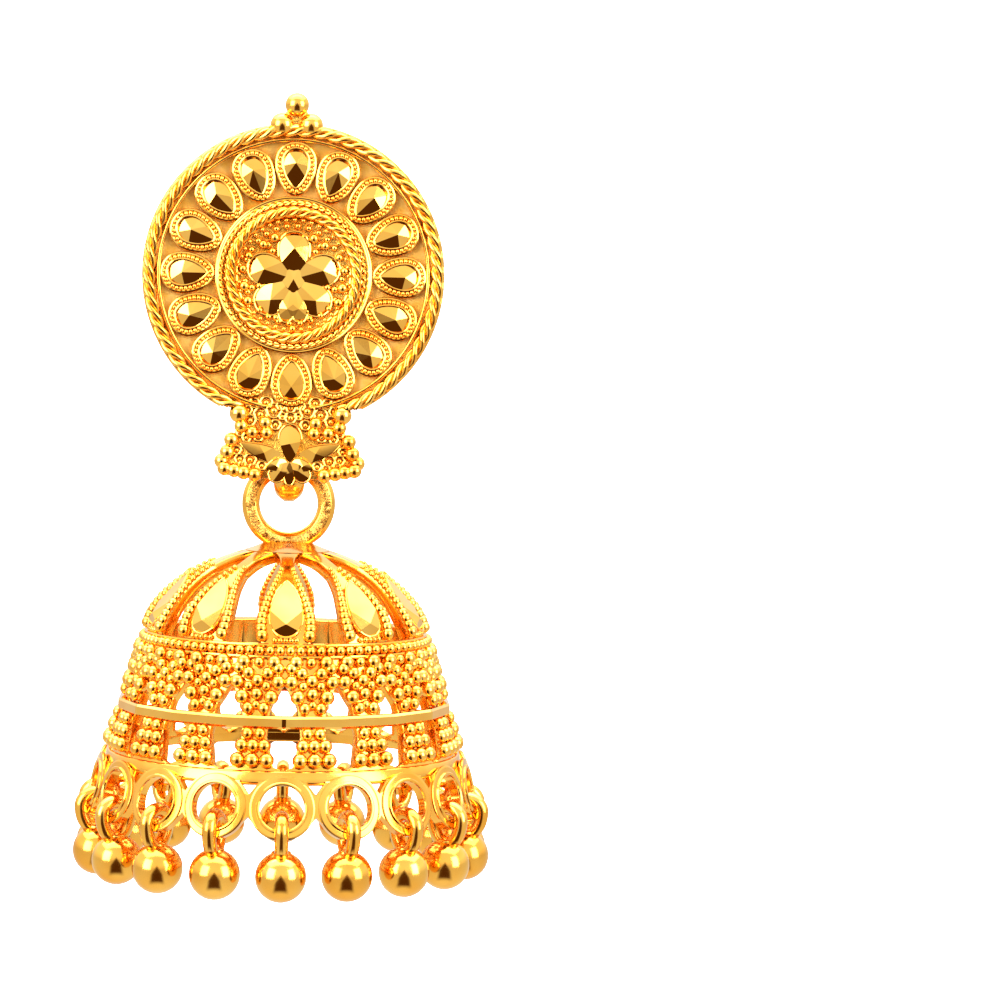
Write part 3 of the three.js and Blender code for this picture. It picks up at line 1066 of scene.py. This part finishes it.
reshape(engraving, hatch)
for name, part, finish in (("hanging_ring", hanging_ring, SHEET), ("ring_engraving_painted_shade", engraving, ENGRAVED_PAINTED_SHADE)):
    place(part, shift(0, HINGE.y, RING_Z) @ STAND)
    bell_piece(solder(name, part), finish, angle=50)

# %% [markdown]
# Solder at the ring's foot has left a low cap with a mound. Half a sphere has the right
# rings of vertices, so it is laid flat on the dome and raised in the middle.

# %% Collar of the ring
CAP_R = 2.7
bpy.ops.mesh.primitive_uv_sphere_add(segments=64, ring_count=48, radius=1)
collar = cut_away(bpy.context.object, lambda centre, normal: centre.z < 0)


def mound(points):
    """Lay the half sphere on the dome, with a mound that is long from side to side."""
    away = np.hypot(points[:, 0], points[:, 1])
    reach = away ** 1.5 * CAP_R
    grow = reach / np.maximum(away, 0.0001)
    x, y = points[:, 0] * grow, points[:, 1] * grow
    rise = 0.3 * np.exp(-(x / 1.9) ** 4 - (y / 0.8) ** 2) + 0.08 * np.exp(-(reach / 1.6) ** 2)
    level = np.interp(reach, CURVE[:CURVE_STEPS, 0], CURVE[:CURVE_STEPS, 1])
    return np.stack([x, HINGE.y + y, level + rise + 0.03], axis=1)


reshape(collar, mound)
modify(collar, "SOLIDIFY", thickness=0.15, offset=-1)
bell_piece(solder("bell_collar", collar), SHEET)

# %% [markdown]
# Eighteen hollow balls hang at the mouth, each on a bent wire loop through its ring. One
# drop is made at the front and copied, and each copy stands for one node of the frame, so
# that it could be moved or replaced by itself. The wire is a torus pulled into a pear, and a
# small foot stands for the solder between wire and ball.

# %% Drops
DROP_WIRE_R = 0.44
LOOP_HALF = 0.93
LOOP_TOP = 0.83
LOOP_BOTTOM = 1.45


def pull(points):
    """Pull a ring of radius 1 into a pear: short above its middle and long below."""
    around = np.arctan2(points[:, 1], points[:, 0])
    out = np.hypot(points[:, 0], points[:, 1]) - 1
    x = (LOOP_HALF + out) * np.cos(around)
    y = (np.where(np.sin(around) > 0, LOOP_TOP, LOOP_BOTTOM) + out) * np.sin(around)
    return np.stack([x, y, points[:, 2]], axis=1)


ball = place(granule(4), shift(0, HINGE.y - BALL_AXIS_R, BALL_Z) @ size(BALL_R))
loop = reshape(torus(1, DROP_WIRE_R, 48, 14), pull)
place(loop, shift(0, HINGE.y - 12.0, -33.95) @ turn(90) @ STAND)
foot = place(tube(32, 0.62, 0.3), shift(0, HINGE.y - 11.9, -35.3))
drop = solder("drop", ball, loop, ease(foot, 0.12, 3))
for node, bay_turn in zip(DROP_NODES, BAY_TURNS):
    only(drop)
    bpy.ops.object.duplicate()
    piece = solder(f"ball_{node}", place(bpy.context.object, bay_turn))
    hand_over(piece, "bell_body", BALL, [node])
bpy.data.objects.remove(drop)

# %% [markdown]
# The ear post is a plain pin, and its solid is already right. So it keeps its own mesh and
# only gets a finish.

# %% Ear post
post = frame["nodes"]["ear_post"]
post.data.materials.clear()
post.data.materials.append(PIN)
print("post finished in", PIN.name)

# %% [markdown]
# The earring hangs over a white sweep, floor and backdrop in one. It could be two planes,
# but a corner would show as a line, so a grid is rolled up with a wide curve. The gold
# doesn't reflect the sweep: what it reflects is the room, which is easier to shape.

# %% Floor and backdrop
FLOOR_Z = BELL_LOW.z * MM - 0.035
SWEEP_FLAT = 1.1
SWEEP_BEND = 0.35


def stage_finish():
    material, shader, where = material_start("pale_sweep")
    tone = where.node("ShaderNodeTexNoise", Vector=where, Scale=6.0, Detail=2.0)
    stops = [(0.3, (0.93, 0.93, 0.93, 1)), (0.7, (0.96, 0.96, 0.955, 1))]
    colour = where.node("ShaderNodeValToRGB", {"stops": stops}, Fac=tone)
    material.node_tree.links.new(colour.link, shader.inputs["Base Color"])
    shader.inputs["Roughness"].default_value = 0.9
    shader.inputs["Specular IOR Level"].default_value = 0.1
    shader.inputs["Emission Color"].default_value = (1, 1, 1, 1)
    shader.inputs["Emission Strength"].default_value = 0.45
    return material


def roll_up(points):
    """A flat sheet, bent up at the back; its wall is drawn out to three times the height."""
    run = points[:, 1] + 1
    turned = np.clip((run - SWEEP_FLAT) / SWEEP_BEND, 0, math.pi / 2)
    wall = np.maximum(run - SWEEP_FLAT - math.pi / 2 * SWEEP_BEND, 0) * 3
    y = -0.7 + np.minimum(run, SWEEP_FLAT) + SWEEP_BEND * np.sin(turned)
    z = SWEEP_BEND * (1 - np.cos(turned)) + wall + FLOOR_Z
    return np.stack([points[:, 0] * 1.2, y, z], axis=1)


bpy.ops.mesh.primitive_grid_add(x_subdivisions=2, y_subdivisions=60, size=2)
sweep = reshape(bpy.context.object, roll_up)
sweep.name = "sweep"
sweep.data.materials.append(stage_finish())
only(sweep)
bpy.ops.object.shade_smooth()
sweep.visible_glossy = False
print("floor at", round(FLOOR_Z, 4), "m")

# %% [markdown]
# Two tall softboxes stand in front, left and right, and a wide one hangs above. The last
# light only keeps the backdrop white. Bare lamps would give gold small, harsh highlights.

# %% Light
def softbox(name, place_m, aim_m, width, height, power):
    light = bpy.data.lights.new(name, "AREA")
    light.shape = "RECTANGLE"
    light.size = width
    light.size_y = height
    light.energy = power
    lamp = bpy.data.objects.new(name, light)
    lamp.location = place_m
    lamp.rotation_euler = (Vector(aim_m) - Vector(place_m)).to_track_quat("-Z", "Y").to_euler()
    bpy.context.scene.collection.objects.link(lamp)
    print(name, power, "W")


AIM = (0, 0, -0.018)
softbox("softbox_left", (-0.27, -0.24, 0.1), AIM, 0.24, 0.28, 1.6)
softbox("softbox_right", (0.29, -0.22, 0.08), AIM, 0.2, 0.28, 1.35)
softbox("softbox_top", (0.0, 0.05, 0.35), AIM, 0.8, 0.5, 4.2)
softbox("softbox_back", (0.0, 0.1, 0.45), (0, 0.5, 0.0), 0.5, 0.3, 2.0)

# %% [markdown]
# Gold shows only what it reflects. The walls are greyest at eye level and bright above, and
# a dark brown card stands below the camera, as a wedge that narrows upwards. Facets that
# face the card turn deep amber, which is what makes cut gold sparkle beside bright ones.
# A direction's X, Y and Z say where it meets the room, so the card is plain maths on them.

# %% Room
world = bpy.data.worlds.new("room")
bpy.context.scene.world = world
world.use_nodes = True
world.node_tree.nodes.clear()
world_output = world.node_tree.nodes.new("ShaderNodeOutputWorld")
direction = world.node_tree.nodes.new("ShaderNodeTexCoord")
sky = Socket(world.node_tree, direction.outputs["Generated"])
apart = sky.node("ShaderNodeSeparateXYZ", Vector=sky)
height_of = Socket(world.node_tree, apart.link.node.outputs["Z"])
walls = [(at, (grey, grey, grey, 1)) for at, grey in ((0.0, 0.9), (0.5, 0.68), (0.66, 1.2), (1.0, 1.0))]
glow = sky.node("ShaderNodeValToRGB", {"stops": walls}, Fac=height_of * 0.5 + 0.5)


def clamped(value):
    return sky.node("ShaderNodeClamp", Value=value)


CARD_TOP = 0.4
CARD_LOW = 0.95
sideways = Socket(world.node_tree, apart.link.node.outputs["X"]).maths("ABSOLUTE", 0.0)
frontward = Socket(world.node_tree, apart.link.node.outputs["Y"]) * -4
wedge = clamped(((CARD_TOP - height_of) * 0.66 - sideways) * 8) * clamped((0.5 - sideways) * 6)
flag = wedge * clamped(frontward) * clamped((height_of + CARD_LOW) * 6)
room = sky.node("ShaderNodeBackground", Color=glow, Strength=1.15)
card = sky.node("ShaderNodeBackground", Color=(1.0, 0.42, 0.08, 1), Strength=0.09)
both = sky.node("ShaderNodeMixShader", _0=flag, _1=room, _2=card)
world.node_tree.links.new(both.link, world_output.inputs["Surface"])
print("room has", len(world.node_tree.nodes), "nodes")

# %% [markdown]
# The camera stands level with the stud, a little over twenty centimetres away, and looks
# slightly down and to the right, with a long lens.

# %% Camera
bpy.ops.object.camera_add(location=(0, -0.234, 0))
camera = bpy.context.object
camera.data.lens = 132.6
camera.data.sensor_width = 36
camera.data.clip_start = 0.01
camera_aim = Vector((0.01344, 0, -0.01399)) - camera.location
roll = Matrix.Rotation(math.radians(1.43), 3, "Z")
camera.rotation_euler = (camera_aim.to_track_quat("-Z", "Y").to_matrix() @ roll).to_euler()
bpy.context.scene.camera = camera
bpy.context.scene.view_settings.view_transform = "Standard"
bpy.context.scene.view_settings.look = "None"
print("camera", camera.data.lens, "mm, aimed along", camera_aim.normalized())
